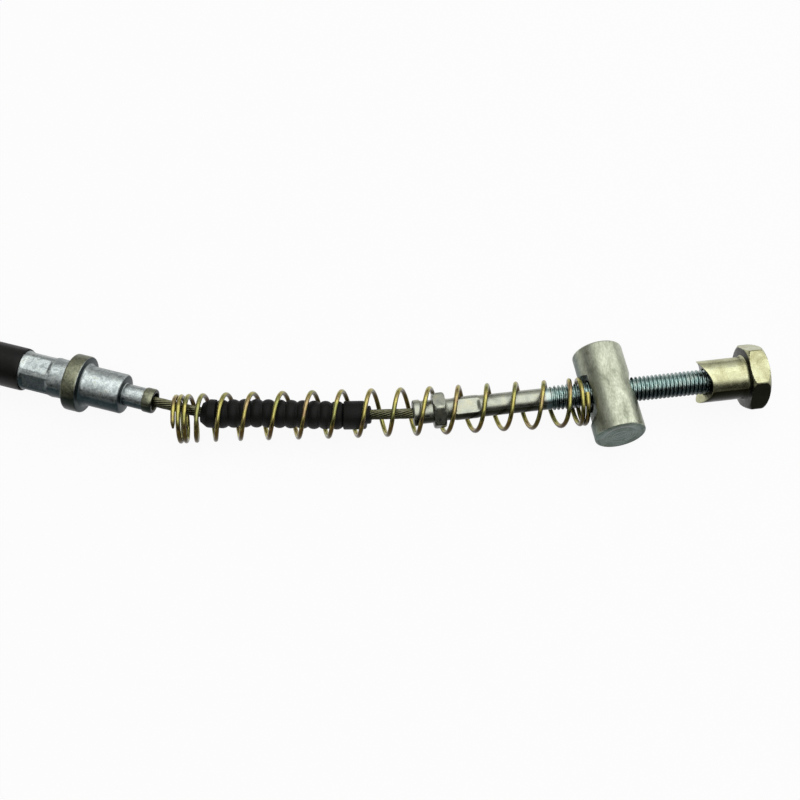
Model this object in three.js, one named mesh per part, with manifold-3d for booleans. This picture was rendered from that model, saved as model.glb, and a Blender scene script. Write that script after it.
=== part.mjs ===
// A motorcycle brake cable as it lies on a flat surface, in millimetres, with Z up.
// A steel wire runs from a crimped ferrule to a threaded rod, which carries a return spring, a barrel pin
// and an adjuster nut. Behind the ferrule the casing runs into a tied coil and ends in a cap and a nipple.
// X runs along the threaded rod towards the nut, and the surface is at Z = 0.
import * as THREE from 'three';
import { mergeVertices } from 'three/addons/utils/BufferGeometryUtils.js';
import Module from 'manifold-3d';

const wasm = await Module();
wasm.setup();

// The gap kept between pieces that touch, and the number of sides of round pieces.
const GAP = 0.3;
const SIDES = 24;

const HEX_FLATS = 6;
const radians = THREE.MathUtils.degToRad;

// The adjuster nut lies on one corner, a little off a flat, and that sets the height of the rod.
const NUT_ACROSS = 14.5;
const NUT_HEAD_LENGTH = 4.7;
const NUT_HEAD_CHAMFER = 0.9;
const NUT_TURN = 10;
const NUT_SLEEVE_D = 10.2;
const NUT_SLEEVE_LENGTH = 11.5;
const NUT_SADDLE_TURN = 47;
const NUT_CORNER_R = NUT_ACROSS / 2 / Math.cos(Math.PI / HEX_FLATS);
const ROD_Z = NUT_CORNER_R * Math.cos(Math.PI / HEX_FLATS - radians(NUT_TURN));

// The threaded rod, from its swaged end to its tip. Places along it are measured from the rod's left end.
const ROD_X = 2.6;
const ROD_COLLAR_D = 6.3;
const ROD_COLLAR_LENGTH = 1.9;
const ROD_NECK_D = 5.6;
const ROD_NECK_LENGTH = 2.9;
const ROD_HEX_ACROSS = 8;
const ROD_HEX_LENGTH = 3;
const ROD_HEX_TURN = -13;
const ROD_WAIST_D = 5.2;
const ROD_WAIST_LENGTH = 2;
const ROD_PRESSED_HEIGHT = 4.2;
const ROD_PRESSED_TURN = 30;
const ROD_PRESSED_LENGTH = 6.5;
const ROD_SHANK_D = 5.3;
const ROD_SHANK_LENGTH = 16.1;
const THREAD_D = 6;
const THREAD_LENGTH = 51.2;
const THREAD_TIP_CHAMFER = 0.8;
const ROD_SOCKET_DEPTH = 14;

// How far the nut's tips stand from the rod's end of thread, and how far the rod stops short of its face.
const ROD_RECESS = 1.9;

// The inner wire, and the bores that it slides in.
const WIRE_D = 2.5;
const WIRE_INSIDE = 46;
const WIRE_SIDES = 10;

// The barrel pin, with its cross hole and the flat that the spring seats on.
const BARREL_D = 12.3;
const BARREL_LENGTH = 23.1;
const BARREL_X = 50.3;
const BARREL_SAG = 0.35;
const BARREL_OFFSET = -0.25;
const BARREL_YAW = 3;
const BARREL_HOLE_D = 8;
const BARREL_SEAT_D = 12.6;
const BARREL_SEAT_DEPTH = 1.3;
const BARREL_SEAT_OFFSET = -1.1;
const BARREL_CHAMFER = 0.35;

// The ferrule at the end of the casing. Places along it are measured from the face of its lip.
const FERRULE_LIP = [-58.61, 10.65];
const FERRULE_TURN = 157.8;
const LIP_D = 6;
const LIP_LENGTH = 2.5;
const NECK_D = 5.4;
const NECK_LENGTH = 5.15;
const BODY_D = 9.7;
const BODY_LENGTH = 9.95;
const FLANGE_D = 13.9;
const FLANGE_THICKNESS = 3.7;
const FLANGE_FILLET = 0.7;
const SKIRT_D = 9.6;
const SKIRT_LENGTH = 14.2;
const CRIMP_ACROSS = 8.9;
const CRIMP_FROM = 4.4;
const CRIMP_LENGTH = 7.6;
const CRIMP_FLATS = 6;
const FERRULE_BORE_D = 4.2;

// The casing: a liner, a wound steel armour and an outer jacket, and the sleeve pushed over its end.
const LINER_WALL = 0.5;
const ARMOUR_WALL = 0.55;
const CASING_D = 7.6;
const CASING_HALF = CASING_D / 2;
const SLEEVE_D = 10.5;
const SLEEVE_TAIL_D = 9.6;
const SLEEVE_FROM = 33.3;
const SLEEVE_LENGTH = 41.9;
const SLEEVE_TAPER = 8;
const SLEEVE_MOUTH_WALL = 0.3;
const SLEEVE_MOUTH_DEPTH = 3;

// The rubber boot on the wire, from its nose to its lip.
const BOOT_FROM = 57.8;
const BOOT_NOSE_D = 4.9;
const BOOT_NOSE_LENGTH = 1.7;
const BOOT_CUFF_D = 6.9;
const BOOT_CUFF_LENGTH = 1.8;
const BOOT_RIDGES = 11;
const BOOT_RIDGE_PITCH = 2.75;
const BOOT_RIDGE_D = 6.9;
const BOOT_VALLEY_D = 5.6;
const BOOT_END_CUFF_LENGTH = 5.6;
const BOOT_LIP_D = 4.4;
const BOOT_LIP_LENGTH = 1.2;
const BOOT_SIDES = 14;

// The return spring, wound left-handed round the wire and the rod.
const SPRING_D = 11.9;
const SPRING_WIRE_D = 1.1;
const SPRING_CLOSED_PITCH = 1.2;
const SPRING_TURNS = 18.1;
const SPRING_START = 140.5;
const SPRING_STEPS = 16;
const SPRING_WIRE_SIDES = 6;
const SPRING_SEAT_GAP = 0.75;

// The casing's coil: four strands in a square bundle, held by ties that it rests on.
const RUN_LENGTH = 73;
const COIL_MID_D = 84;
const TIE_WIDTH = 3.6;
const TIE_THICKNESS = 0.9;
const TIE_TURNS = [160, 340];
const FLOOR_GAP = 0.05;

// The far end of the cable: a cap on the casing, a bare stretch of wire and a nipple.
const CAP_D = 9.5;
const CAP_LENGTH = 16;
const CAP_GRIP = 11;
const CAP_NOSE_D = 6.4;
const CAP_NOSE_LENGTH = 3;
const TAIL_BEND = 54;
const TAIL_STRAIGHT = 13;
const BARE_WIRE = 22;
const NIPPLE_D = 8;
const NIPPLE_LENGTH = 11;
const NIPPLE_HOLE_DEPTH = 5.5;

// Sizes that follow from the ones above.
const LINER_BORE_D = WIRE_D + 2 * GAP;
const LINER_D = LINER_BORE_D + 2 * LINER_WALL;
const ARMOUR_BORE_D = LINER_D + 2 * GAP;
const ARMOUR_D = ARMOUR_BORE_D + 2 * ARMOUR_WALL;
const JACKET_BORE_D = ARMOUR_D + 2 * GAP;
const SKIRT_BORE_D = CASING_D + 2 * GAP;
const UP = new THREE.Vector3(0, 0, 1);

const steel = new THREE.MeshStandardMaterial({ color: 0xb9bdb8, roughness: 0.35, metalness: 0.9 });
const zinc = new THREE.MeshStandardMaterial({ color: 0xa9ab93, roughness: 0.45, metalness: 0.8 });
const goldZinc = new THREE.MeshStandardMaterial({ color: 0xc3bd6a, roughness: 0.35, metalness: 0.8 });
const wireSteel = new THREE.MeshStandardMaterial({ color: 0x9c9a84, roughness: 0.4, metalness: 0.9 });
const rubber = new THREE.MeshStandardMaterial({ color: 0x14150f, roughness: 0.6, metalness: 0 });
const jacketPlastic = new THREE.MeshStandardMaterial({ color: 0x101010, roughness: 0.45, metalness: 0 });
const linerPlastic = new THREE.MeshStandardMaterial({ color: 0xd8d6cc, roughness: 0.6, metalness: 0 });
const tiePlastic = new THREE.MeshStandardMaterial({ color: 0x1c1c1c, roughness: 0.5, metalness: 0 });

// Merges the shared corners of a geometry, drops the triangles without area and turns its faces outwards.
function closed(geometry) {
  const bare = new THREE.BufferGeometry();
  bare.setAttribute('position', geometry.getAttribute('position').clone());
  if (geometry.index) bare.setIndex(geometry.index.clone());
  const merged = mergeVertices(bare, 1e-4);
  const at = (i) => new THREE.Vector3().fromBufferAttribute(merged.getAttribute('position'), i);
  const kept = [];
  let volume = 0;
  for (let i = 0; i < merged.index.count; i += 3) {
    const [a, b, c] = [0, 1, 2].map((k) => merged.index.getX(i + k));
    if (a === b || b === c || c === a) continue;
    kept.push([a, b, c]);
    volume += at(a).dot(at(b).cross(at(c)));
  }
  merged.setIndex(kept.flatMap(([a, b, c]) => (volume < 0 ? [a, c, b] : [a, b, c])));
  merged.computeVertexNormals();
  return merged;
}

// A closed geometry as a solid that can be cut and joined, and back again.
function solidOf(geometry) {
  const g = closed(geometry);
  const vertProperties = new Float32Array(g.getAttribute('position').array);
  const triVerts = new Uint32Array(g.index.array);
  return new wasm.Manifold(new wasm.Mesh({ numProp: 3, vertProperties, triVerts }));
}

function geometryOf(solid) {
  const mesh = solid.getMesh();
  const g = new THREE.BufferGeometry();
  g.setAttribute('position', new THREE.BufferAttribute(new Float32Array(mesh.vertProperties), 3));
  g.setIndex(new THREE.BufferAttribute(new Uint32Array(mesh.triVerts), 1));
  return closed(g);
}

// A piece turned about the X axis, from a list of [place along X, diameter]. A profile that starts and ends
// at diameter 0 gives a solid piece, and one that returns to its first point gives a piece with a bore.
function turned(profile, sides = SIDES) {
  const points = profile.map(([along, diameter]) => new THREE.Vector2(diameter / 2, along));
  return closed(new THREE.LatheGeometry(points, sides).rotateZ(-Math.PI / 2));
}

// A straight tube along the X axis.
function tube(from, to, outer, bore, sides = SIDES) {
  return turned([[from, bore], [from, outer], [to, outer], [to, bore], [from, bore]], sides);
}

// A straight round bar along the X axis.
function bar(from, to, diameter, sides = SIDES) {
  return turned([[from, 0], [from, diameter], [to, diameter], [to, 0]], sides);
}

// Presses flats into a turned piece between two places: no corner there lies outside the polygon.
function pressFlats(geometry, from, to, across, flats, flatsTurn = 0) {
  const position = geometry.getAttribute('position');
  const share = (2 * Math.PI) / flats;
  for (let i = 0; i < position.count; i += 1) {
    const [x, y, z] = [position.getX(i), position.getY(i), position.getZ(i)];
    if (x < from - 1e-4 || x > to + 1e-4) continue;
    const turn = Math.atan2(-y, z) - radians(flatsTurn);
    const fromFlat = turn - share * Math.round(turn / share);
    const limit = across / 2 / Math.max(Math.cos(fromFlat), 0.2);
    const radius = Math.hypot(y, z);
    if (radius > limit) position.setXYZ(i, x, (y * limit) / radius, (z * limit) / radius);
  }
  return geometry;
}

// Lays a straight geometry along a curve: X becomes the length along the curve.
function laidAlong(geometry, curve) {
  const length = curve.getLength();
  const position = geometry.getAttribute('position');
  for (let i = 0; i < position.count; i += 1) {
    const u = THREE.MathUtils.clamp(position.getX(i) / length, 0, 1);
    const tangent = curve.getTangentAt(u);
    const side = UP.clone().cross(tangent).normalize();
    const lift = tangent.clone().cross(side);
    const p = curve.getPointAt(u);
    p.addScaledVector(side, position.getY(i)).addScaledVector(lift, position.getZ(i));
    position.setXYZ(i, p.x, p.y, p.z);
  }
  return closed(geometry);
}

// A round bar or tube along a curve between two lengths, with rings a step apart.
function laidBar(curve, from, to, outer, step, sides, bore = 0) {
  const rings = Math.max(1, Math.round((to - from) / step));
  const places = Array.from({ length: rings + 1 }, (_, i) => from + ((to - from) * i) / rings);
  const profile = places.map((x) => [x, outer]);
  if (bore > 0) {
    profile.push(...places.reverse().map((x) => [x, bore]), [from, outer]);
  } else {
    profile.unshift([from, 0]);
    profile.push([to, 0]);
  }
  return laidAlong(turned(profile, sides), curve);
}

function smoothCurve(points) {
  const curve = new THREE.CatmullRomCurve3(points, false, 'centripetal');
  curve.arcLengthDivisions = 600;
  return curve;
}

function mesh(name, geometry, material) {
  const m = new THREE.Mesh(geometry, material);
  m.name = name;
  return m;
}

// The ferrule's own X axis runs from its lip into the casing.
const intoCasing = new THREE.Vector3(Math.cos(radians(FERRULE_TURN)), Math.sin(radians(FERRULE_TURN)), 0);
const lipCentre = new THREE.Vector3(FERRULE_LIP[0], FERRULE_LIP[1], ROD_Z);
const onFerruleAxis = (along) => lipCentre.clone().addScaledVector(intoCasing, along);

// Places along the ferrule.
const BODY_FROM = LIP_LENGTH + NECK_LENGTH;
const FLANGE_FROM = BODY_FROM + BODY_LENGTH;
const SKIRT_FROM = FLANGE_FROM + FLANGE_THICKNESS;
const SKIRT_TO = SKIRT_FROM + SKIRT_LENGTH;
const SOCKET_FROM = SKIRT_FROM + 1;
const SLEEVE_TO = SLEEVE_FROM + SLEEVE_LENGTH;

// The wire's route in view: straight out of the ferrule, then curving down into the spring and up to the rod.
// Each point is [x, y, height], with heights measured from the rod's axis.
const WIRE_ROUTE = [
  [-45.4, 6.08, -0.55],
  [-37, 5.23, -0.67],
  [-28.8, 4.16, -0.9],
  [-20, 2.93, -1.19],
  [-16.3, 2.46, -1.29],
  [-11, 1.84, -1.41],
  [-7.9, 1.46, -1.1],
  [-3, 0.7, -0.45],
];

function wireCurve() {
  const inside = [WIRE_INSIDE, 34, 22, 11, 3, 0, -2.6].map(onFerruleAxis);
  const route = WIRE_ROUTE.map(([x, y, z]) => new THREE.Vector3(x, y, ROD_Z + z));
  const inRod = [0, 4, ROD_SOCKET_DEPTH - GAP].map((along) => new THREE.Vector3(ROD_X + along, 0, ROD_Z));
  return smoothCurve([...inside, ...route, ...inRod]);
}

function ferruleGeometry() {
  const collarTo = FLANGE_FROM + FLANGE_THICKNESS;
  const geometry = turned([
    [0, FERRULE_BORE_D],
    [0, LIP_D - 0.7],
    [0.35, LIP_D],
    [LIP_LENGTH - 0.3, LIP_D],
    [LIP_LENGTH, NECK_D],
    [BODY_FROM, NECK_D],
    [BODY_FROM, BODY_D - 0.8],
    [BODY_FROM + 0.4, BODY_D],
    [FLANGE_FROM - FLANGE_FILLET, BODY_D],
    [FLANGE_FROM - 0.2, BODY_D + 0.5],
    [FLANGE_FROM, BODY_D + 2 * FLANGE_FILLET],
    [FLANGE_FROM, FLANGE_D - 0.6],
    [FLANGE_FROM + 0.3, FLANGE_D],
    [collarTo - 0.3, FLANGE_D],
    [collarTo, FLANGE_D - 0.6],
    [collarTo, SKIRT_D],
    [SKIRT_FROM + CRIMP_FROM - 0.5, SKIRT_D],
    [SKIRT_FROM + CRIMP_FROM, SKIRT_D],
    [SKIRT_FROM + CRIMP_FROM + CRIMP_LENGTH, SKIRT_D],
    [SKIRT_TO - 1.4, SKIRT_D - 0.5],
    [SKIRT_TO, SKIRT_D - 1],
    [SKIRT_TO, SKIRT_BORE_D],
    [SOCKET_FROM, SKIRT_BORE_D],
    [SOCKET_FROM, FERRULE_BORE_D],
    [0, FERRULE_BORE_D],
  ]);
  const crimpTo = SKIRT_FROM + CRIMP_FROM + CRIMP_LENGTH;
  return closed(pressFlats(geometry, SKIRT_FROM + CRIMP_FROM, crimpTo, CRIMP_ACROSS, CRIMP_FLATS));
}

function sleeveGeometry() {
  const mouth = SLEEVE_D - 2 * SLEEVE_MOUTH_WALL;
  const bore = CASING_D + 2 * GAP;
  const mouthTo = SLEEVE_FROM + SLEEVE_MOUTH_DEPTH;
  return turned([
    [SLEEVE_FROM, mouth],
    [SLEEVE_FROM, SLEEVE_D - 0.3],
    [SLEEVE_FROM + 0.6, SLEEVE_D],
    [SLEEVE_TO - SLEEVE_TAPER, SLEEVE_D],
    [SLEEVE_TO - 0.6, SLEEVE_TAIL_D],
    [SLEEVE_TO, SLEEVE_TAIL_D - 0.5],
    [SLEEVE_TO, bore],
    [mouthTo, bore],
    [mouthTo, mouth],
    [SLEEVE_FROM, mouth],
  ]);
}

function rodGeometry() {
  const neckFrom = ROD_COLLAR_LENGTH;
  const hexFrom = neckFrom + ROD_NECK_LENGTH;
  const waistFrom = hexFrom + ROD_HEX_LENGTH;
  const pressedFrom = waistFrom + ROD_WAIST_LENGTH;
  const shankFrom = pressedFrom + ROD_PRESSED_LENGTH;
  const threadFrom = shankFrom + ROD_SHANK_LENGTH;
  const tip = threadFrom + THREAD_LENGTH;
  const corner = (ROD_HEX_ACROSS / Math.cos(Math.PI / HEX_FLATS)) * 1.01;
  const geometry = turned([
    [ROD_SOCKET_DEPTH, 0],
    [ROD_SOCKET_DEPTH, LINER_BORE_D],
    [0, LINER_BORE_D],
    [0, ROD_COLLAR_D - 0.6],
    [0.3, ROD_COLLAR_D],
    [neckFrom - 0.3, ROD_COLLAR_D],
    [neckFrom, ROD_NECK_D],
    [hexFrom, ROD_NECK_D],
    [hexFrom, corner],
    [waistFrom, corner],
    [waistFrom, ROD_WAIST_D],
    [pressedFrom, ROD_WAIST_D],
    [pressedFrom + 0.6, ROD_SHANK_D],
    [shankFrom - 0.6, ROD_SHANK_D],
    [shankFrom, ROD_SHANK_D],
    [threadFrom - 0.3, ROD_SHANK_D],
    [threadFrom, THREAD_D],
    [tip - THREAD_TIP_CHAMFER, THREAD_D],
    [tip, THREAD_D - 2 * THREAD_TIP_CHAMFER],
    [tip, 0],
  ]);
  pressFlats(geometry, hexFrom, waistFrom, ROD_HEX_ACROSS, HEX_FLATS);
  pressFlats(geometry, pressedFrom + 0.6, shankFrom - 0.6, ROD_PRESSED_HEIGHT, 2, ROD_PRESSED_TURN);
  return closed(geometry);
}

const ROD_LENGTH = ROD_COLLAR_LENGTH + ROD_NECK_LENGTH + ROD_HEX_LENGTH + ROD_WAIST_LENGTH
  + ROD_PRESSED_LENGTH + ROD_SHANK_LENGTH + THREAD_LENGTH;
const NUT_TO = ROD_X + ROD_LENGTH + ROD_RECESS;
const NUT_HEAD_FROM = NUT_TO - NUT_HEAD_LENGTH;
const NUT_FROM = NUT_HEAD_FROM - NUT_SLEEVE_LENGTH;

// The nut: a chamfered hexagon and a sleeve whose end is hollowed to seat on the barrel pin.
function nutGeometry() {
  const corner = 2 * NUT_CORNER_R + 1;
  const blank = bar(NUT_HEAD_FROM, NUT_TO, corner);
  const pressed = pressFlats(blank, NUT_HEAD_FROM, NUT_TO, NUT_ACROSS, HEX_FLATS);
  const prism = solidOf(pressed.rotateX(radians(NUT_TURN)));
  const round = solidOf(turned([
    [NUT_HEAD_FROM, 0],
    [NUT_HEAD_FROM, NUT_ACROSS + 0.6],
    [NUT_HEAD_FROM + 0.5, corner],
    [NUT_TO - NUT_HEAD_CHAMFER, corner - 0.6],
    [NUT_TO, NUT_ACROSS - 0.8],
    [NUT_TO, 0],
  ], 2 * SIDES));
  const sleeve = solidOf(turned([
    [NUT_FROM, 0],
    [NUT_FROM, NUT_SLEEVE_D - 0.6],
    [NUT_FROM + 0.6, NUT_SLEEVE_D],
    [NUT_HEAD_FROM - 0.8, NUT_SLEEVE_D],
    [NUT_HEAD_FROM - 0.1, NUT_SLEEVE_D + 0.9],
    [NUT_HEAD_FROM + 1, NUT_SLEEVE_D + 0.9],
    [NUT_HEAD_FROM + 1, 0],
  ], 2 * SIDES));
  const bore = solidOf(bar(NUT_FROM - 1, NUT_TO + 1, THREAD_D + 2 * GAP));
  const saddleD = BARREL_D + 0.2;
  const saddleDepth = saddleD / 2 - Math.sqrt((saddleD / 2) ** 2 - (NUT_SLEEVE_D / 2) ** 2);
  const saddle = bar(-NUT_SLEEVE_D, NUT_SLEEVE_D, saddleD, 2 * SIDES);
  saddle.rotateZ(Math.PI / 2).rotateX(radians(90 + NUT_SADDLE_TURN));
  saddle.translate(NUT_FROM + saddleDepth - saddleD / 2, 0, 0);
  return geometryOf(prism.intersect(round).add(sleeve).subtract(bore).subtract(solidOf(saddle)));
}

// The barrel pin lies across the rod. Its seat for the spring is a round recess in the side that faces it.
function barrelGeometry() {
  const half = BARREL_LENGTH / 2;
  const pin = turned([
    [-half, 0],
    [-half, BARREL_D - 2 * BARREL_CHAMFER],
    [BARREL_CHAMFER - half, BARREL_D],
    [half - BARREL_CHAMFER, BARREL_D],
    [half, BARREL_D - 2 * BARREL_CHAMFER],
    [half, 0],
  ], 2 * SIDES).rotateZ(Math.PI / 2);
  const hole = bar(-BARREL_D, BARREL_D, BARREL_HOLE_D);
  const seat = bar(-BARREL_D, BARREL_SEAT_DEPTH - BARREL_D / 2, BARREL_SEAT_D, 2 * SIDES);
  seat.translate(0, BARREL_SEAT_OFFSET, 0);
  return geometryOf(solidOf(pin).subtract(solidOf(hole)).subtract(solidOf(seat)));
}

// The boot's outside follows its ridges, and its bore follows the wire.
function bootGeometry(curve) {
  const profile = [
    [0, BOOT_NOSE_D],
    [BOOT_NOSE_LENGTH, BOOT_CUFF_D],
    [BOOT_NOSE_LENGTH + BOOT_CUFF_LENGTH, BOOT_CUFF_D],
  ];
  const ridgesFrom = BOOT_NOSE_LENGTH + BOOT_CUFF_LENGTH;
  const swell = BOOT_RIDGE_D - BOOT_VALLEY_D;
  for (let i = 0; i < BOOT_RIDGES; i += 1) {
    for (const [share, height] of [[0.06, 0], [0.28, 0.8], [0.5, 1], [0.76, 0.8]]) {
      profile.push([ridgesFrom + (i + share) * BOOT_RIDGE_PITCH, BOOT_VALLEY_D + height * swell]);
    }
  }
  const cuffFrom = ridgesFrom + BOOT_RIDGES * BOOT_RIDGE_PITCH;
  const lipFrom = cuffFrom + BOOT_END_CUFF_LENGTH;
  const end = lipFrom + BOOT_LIP_LENGTH;
  profile.push([cuffFrom, BOOT_VALLEY_D], [cuffFrom + 0.6, BOOT_CUFF_D], [lipFrom - 0.5, BOOT_CUFF_D]);
  profile.push([lipFrom, BOOT_CUFF_D - 1], [lipFrom, BOOT_LIP_D], [end, BOOT_LIP_D]);
  const bore = WIRE_D + 2 * GAP;
  const boreRings = 14;
  for (let i = boreRings; i >= 0; i -= 1) profile.push([(end * i) / boreRings, bore]);
  profile.push([0, BOOT_NOSE_D]);
  const placed = profile.map(([along, diameter]) => [BOOT_FROM + along, diameter]);
  return laidAlong(turned(placed, BOOT_SIDES), curve);
}

// The spring's axis bends a little where it leans on the boot, the hexagon and the thread.
// Each point is [x, y, height], with heights measured from the rod's axis.
const SPRING_ROUTE = [
  [-53.9, 5.85, -1.05],
  [-41, 4.95, -1.05],
  [-22, 3.15, -1.03],
  [-3, 1.4, -0.85],
  [9, 0.22, -0.38],
  [24, -0.46, -0.75],
  [38, -1.3, -0.78],
];
const SPRING_SEAT = [-1.42, -0.7];

// How open the spring is, as [turn, openness]: 0 where its coils are closed and 1 where they are fully open.
const SPRING_OPEN = [
  [0, 0], [1.47, 0], [2.77, 0.33], [3.77, 0.75], [4.77, 0.84], [5.77, 1], [15.87, 0.94], [16.92, 0], [19, 0],
];

function openness(turn) {
  const i = SPRING_OPEN.findIndex(([to]) => to > turn);
  const [[from, a], [to, b]] = [SPRING_OPEN[i - 1], SPRING_OPEN[i]];
  return a + ((b - a) * (turn - from)) / (to - from);
}

// The spring: a round wire swept along a left-handed helix with closed coils at both ends.
function springGeometry() {
  const coilRadius = (SPRING_D - SPRING_WIRE_D) / 2;
  const seatX = BARREL_X - BARREL_D / 2 + BARREL_SEAT_DEPTH;
  const endX = seatX - SPRING_WIRE_D / 2 - SPRING_SEAT_GAP;
  const route = [...SPRING_ROUTE, [endX, ...SPRING_SEAT]];
  const axis = smoothCurve(route.map(([x, y, z]) => new THREE.Vector3(x, y, ROD_Z + z)));
  const length = axis.getLength();
  const steps = Math.round(SPRING_TURNS * SPRING_STEPS);
  const open = [0];
  for (let i = 1; i <= steps; i += 1) {
    open.push(open[i - 1] + openness((i - 0.5) / SPRING_STEPS) / SPRING_STEPS);
  }
  const openPitch = (length - SPRING_CLOSED_PITCH * (steps / SPRING_STEPS)) / open[steps];
  const along = (i) => Math.min(length, (SPRING_CLOSED_PITCH * i) / SPRING_STEPS + openPitch * open[i]);
  const vertices = [];
  for (let i = 0; i <= steps; i += 1) {
    const turn = radians(SPRING_START) - (2 * Math.PI * i) / SPRING_STEPS;
    const tangent = axis.getTangentAt(along(i) / length);
    const side = UP.clone().cross(tangent).normalize();
    const lift = tangent.clone().cross(side);
    const out = side.clone().multiplyScalar(Math.cos(turn)).addScaledVector(lift, Math.sin(turn));
    const centre = axis.getPointAt(along(i) / length).addScaledVector(out, coilRadius);
    for (let k = 0; k < SPRING_WIRE_SIDES; k += 1) {
      const a = (2 * Math.PI * (k + 0.5)) / SPRING_WIRE_SIDES;
      const p = centre.clone().addScaledVector(out, (Math.cos(a) * SPRING_WIRE_D) / 2);
      vertices.push(p.addScaledVector(tangent, (Math.sin(a) * SPRING_WIRE_D) / 2));
    }
  }
  const faces = [];
  const n = SPRING_WIRE_SIDES;
  for (let i = 0; i < steps; i += 1) {
    for (let k = 0; k < n; k += 1) {
      const [a, b] = [i * n + k, i * n + ((k + 1) % n)];
      faces.push(a, b, a + n, b, b + n, a + n);
    }
  }
  const last = steps * n;
  for (let k = 1; k < n - 1; k += 1) faces.push(0, k + 1, k, last, last + k, last + k + 1);
  const g = new THREE.BufferGeometry();
  g.setAttribute('position', new THREE.Float32BufferAttribute(vertices.flatMap((v) => v.toArray()), 3));
  g.setIndex(faces);
  return closed(g);
}

// The casing's straight run to the coil: [distance from the sleeve, height of its centre].
const RUN_ROUTE = [[0, ROD_Z], [8, 7.4], [20, 5.9], [32, 4.4], [44, 4], [58, 4.6], [73, 5.05]];

// The casing's tail off the coil: [distance from the coil, height of its centre].
const TAIL_ROUTE = [
  [0, 12.65], [12, 12.65], [18, 12.1], [24, 11], [30, 9.4],
  [36, 7.7], [42, 6.3], [48, 5.25], [54, 4.85], [60, 4.8],
];

const COIL_BOTTOM = FLOOR_GAP + TIE_THICKNESS + GAP;
const COIL_CENTRE_Z = COIL_BOTTOM + CASING_D;
const COIL_OUTER = COIL_MID_D / 2 + CASING_HALF;

// The coil's middle: the run meets its outer turn as a tangent, with the middle on its left.
const runFrom = onFerruleAxis(SLEEVE_TO + GAP);
const runTo = onFerruleAxis(SLEEVE_TO + GAP + RUN_LENGTH);
const toMiddle = new THREE.Vector3(-intoCasing.y, intoCasing.x, 0);
const coilMiddle = runTo.clone().addScaledVector(toMiddle, COIL_OUTER).setZ(0);

// The outline of the bundle of turns, grown by a margin: a square with round corners.
function bundleShape(margin) {
  const half = CASING_D + margin;
  const r = CASING_HALF + margin;
  const shape = new THREE.Shape();
  shape.absarc(half - r, half - r, r, 0, Math.PI / 2, false);
  shape.absarc(r - half, half - r, r, Math.PI / 2, Math.PI, false);
  shape.absarc(r - half, r - half, r, Math.PI, 1.5 * Math.PI, false);
  shape.absarc(half - r, r - half, r, 1.5 * Math.PI, 2 * Math.PI, false);
  return shape;
}

function coilGeometry(margin, divisions) {
  const points = bundleShape(margin).extractPoints(divisions).shape;
  const ring = points.map((p) => new THREE.Vector2(COIL_MID_D / 2 + p.x, p.y));
  ring.push(ring[0].clone());
  const geometry = new THREE.LatheGeometry(ring, 2 * SIDES).rotateX(Math.PI / 2);
  return closed(geometry.translate(coilMiddle.x, coilMiddle.y, COIL_CENTRE_Z));
}

// A tie: a flat band round the bundle, which the coil rests on.
function tieGeometry(turn) {
  const shape = bundleShape(GAP + TIE_THICKNESS);
  shape.holes.push(bundleShape(GAP));
  const band = new THREE.ExtrudeGeometry(shape, { depth: TIE_WIDTH, bevelEnabled: false, curveSegments: 3 });
  band.translate(COIL_MID_D / 2, 0, -TIE_WIDTH / 2).rotateX(Math.PI / 2).rotateZ(radians(turn));
  return closed(band.translate(coilMiddle.x, coilMiddle.y, COIL_CENTRE_Z));
}

function runGeometry() {
  const points = RUN_ROUTE.map(([along, z]) => runFrom.clone().addScaledVector(intoCasing, along).setZ(z));
  const curve = smoothCurve(points);
  const whole = solidOf(laidBar(curve, 0, curve.getLength(), CASING_D, 9, 12));
  return geometryOf(whole.subtract(solidOf(coilGeometry(GAP, 3))));
}

// The tail leaves the coil towards +X.
const tailPoint = (along, z) => new THREE.Vector3(coilMiddle.x + along, coilMiddle.y - COIL_OUTER, z);
const TAIL_Z = TAIL_ROUTE[TAIL_ROUTE.length - 1][1];

const tailCurve = smoothCurve(TAIL_ROUTE.map(([along, z]) => tailPoint(along, z)));
const tailTo = tailCurve.getPointAt(TAIL_BEND / tailCurve.getLength()).x - coilMiddle.x;

function tailGeometry() {
  const whole = solidOf(laidBar(tailCurve, 0, TAIL_BEND, CASING_D, 6, 12));
  return geometryOf(whole.subtract(solidOf(coilGeometry(GAP, 3))));
}

// The cap's own X axis runs from the casing towards the nipple, from the cap's open end.
function capGeometry() {
  const noseFrom = CAP_LENGTH - CAP_NOSE_LENGTH;
  return turned([
    [0, SKIRT_BORE_D],
    [0, CAP_D - 0.5],
    [0.4, CAP_D],
    [noseFrom - 0.6, CAP_D],
    [noseFrom, CAP_D - 1.2],
    [noseFrom, CAP_NOSE_D],
    [CAP_LENGTH - 0.4, CAP_NOSE_D],
    [CAP_LENGTH, CAP_NOSE_D - 0.8],
    [CAP_LENGTH, LINER_BORE_D],
    [CAP_GRIP + GAP, LINER_BORE_D],
    [CAP_GRIP + GAP, SKIRT_BORE_D],
    [0, SKIRT_BORE_D],
  ]);
}

// The nipple lies across the wire, whose end is held in its side.
function nippleGeometry() {
  const half = NIPPLE_LENGTH / 2;
  const body = turned([
    [-half, 0], [-half, NIPPLE_D - 0.8], [0.4 - half, NIPPLE_D],
    [half - 0.4, NIPPLE_D], [half, NIPPLE_D - 0.8], [half, 0],
  ]).rotateZ(Math.PI / 2);
  const hole = bar(-NIPPLE_D, NIPPLE_HOLE_DEPTH - NIPPLE_D / 2, LINER_BORE_D, 12);
  return geometryOf(solidOf(body).subtract(solidOf(hole)));
}

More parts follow.
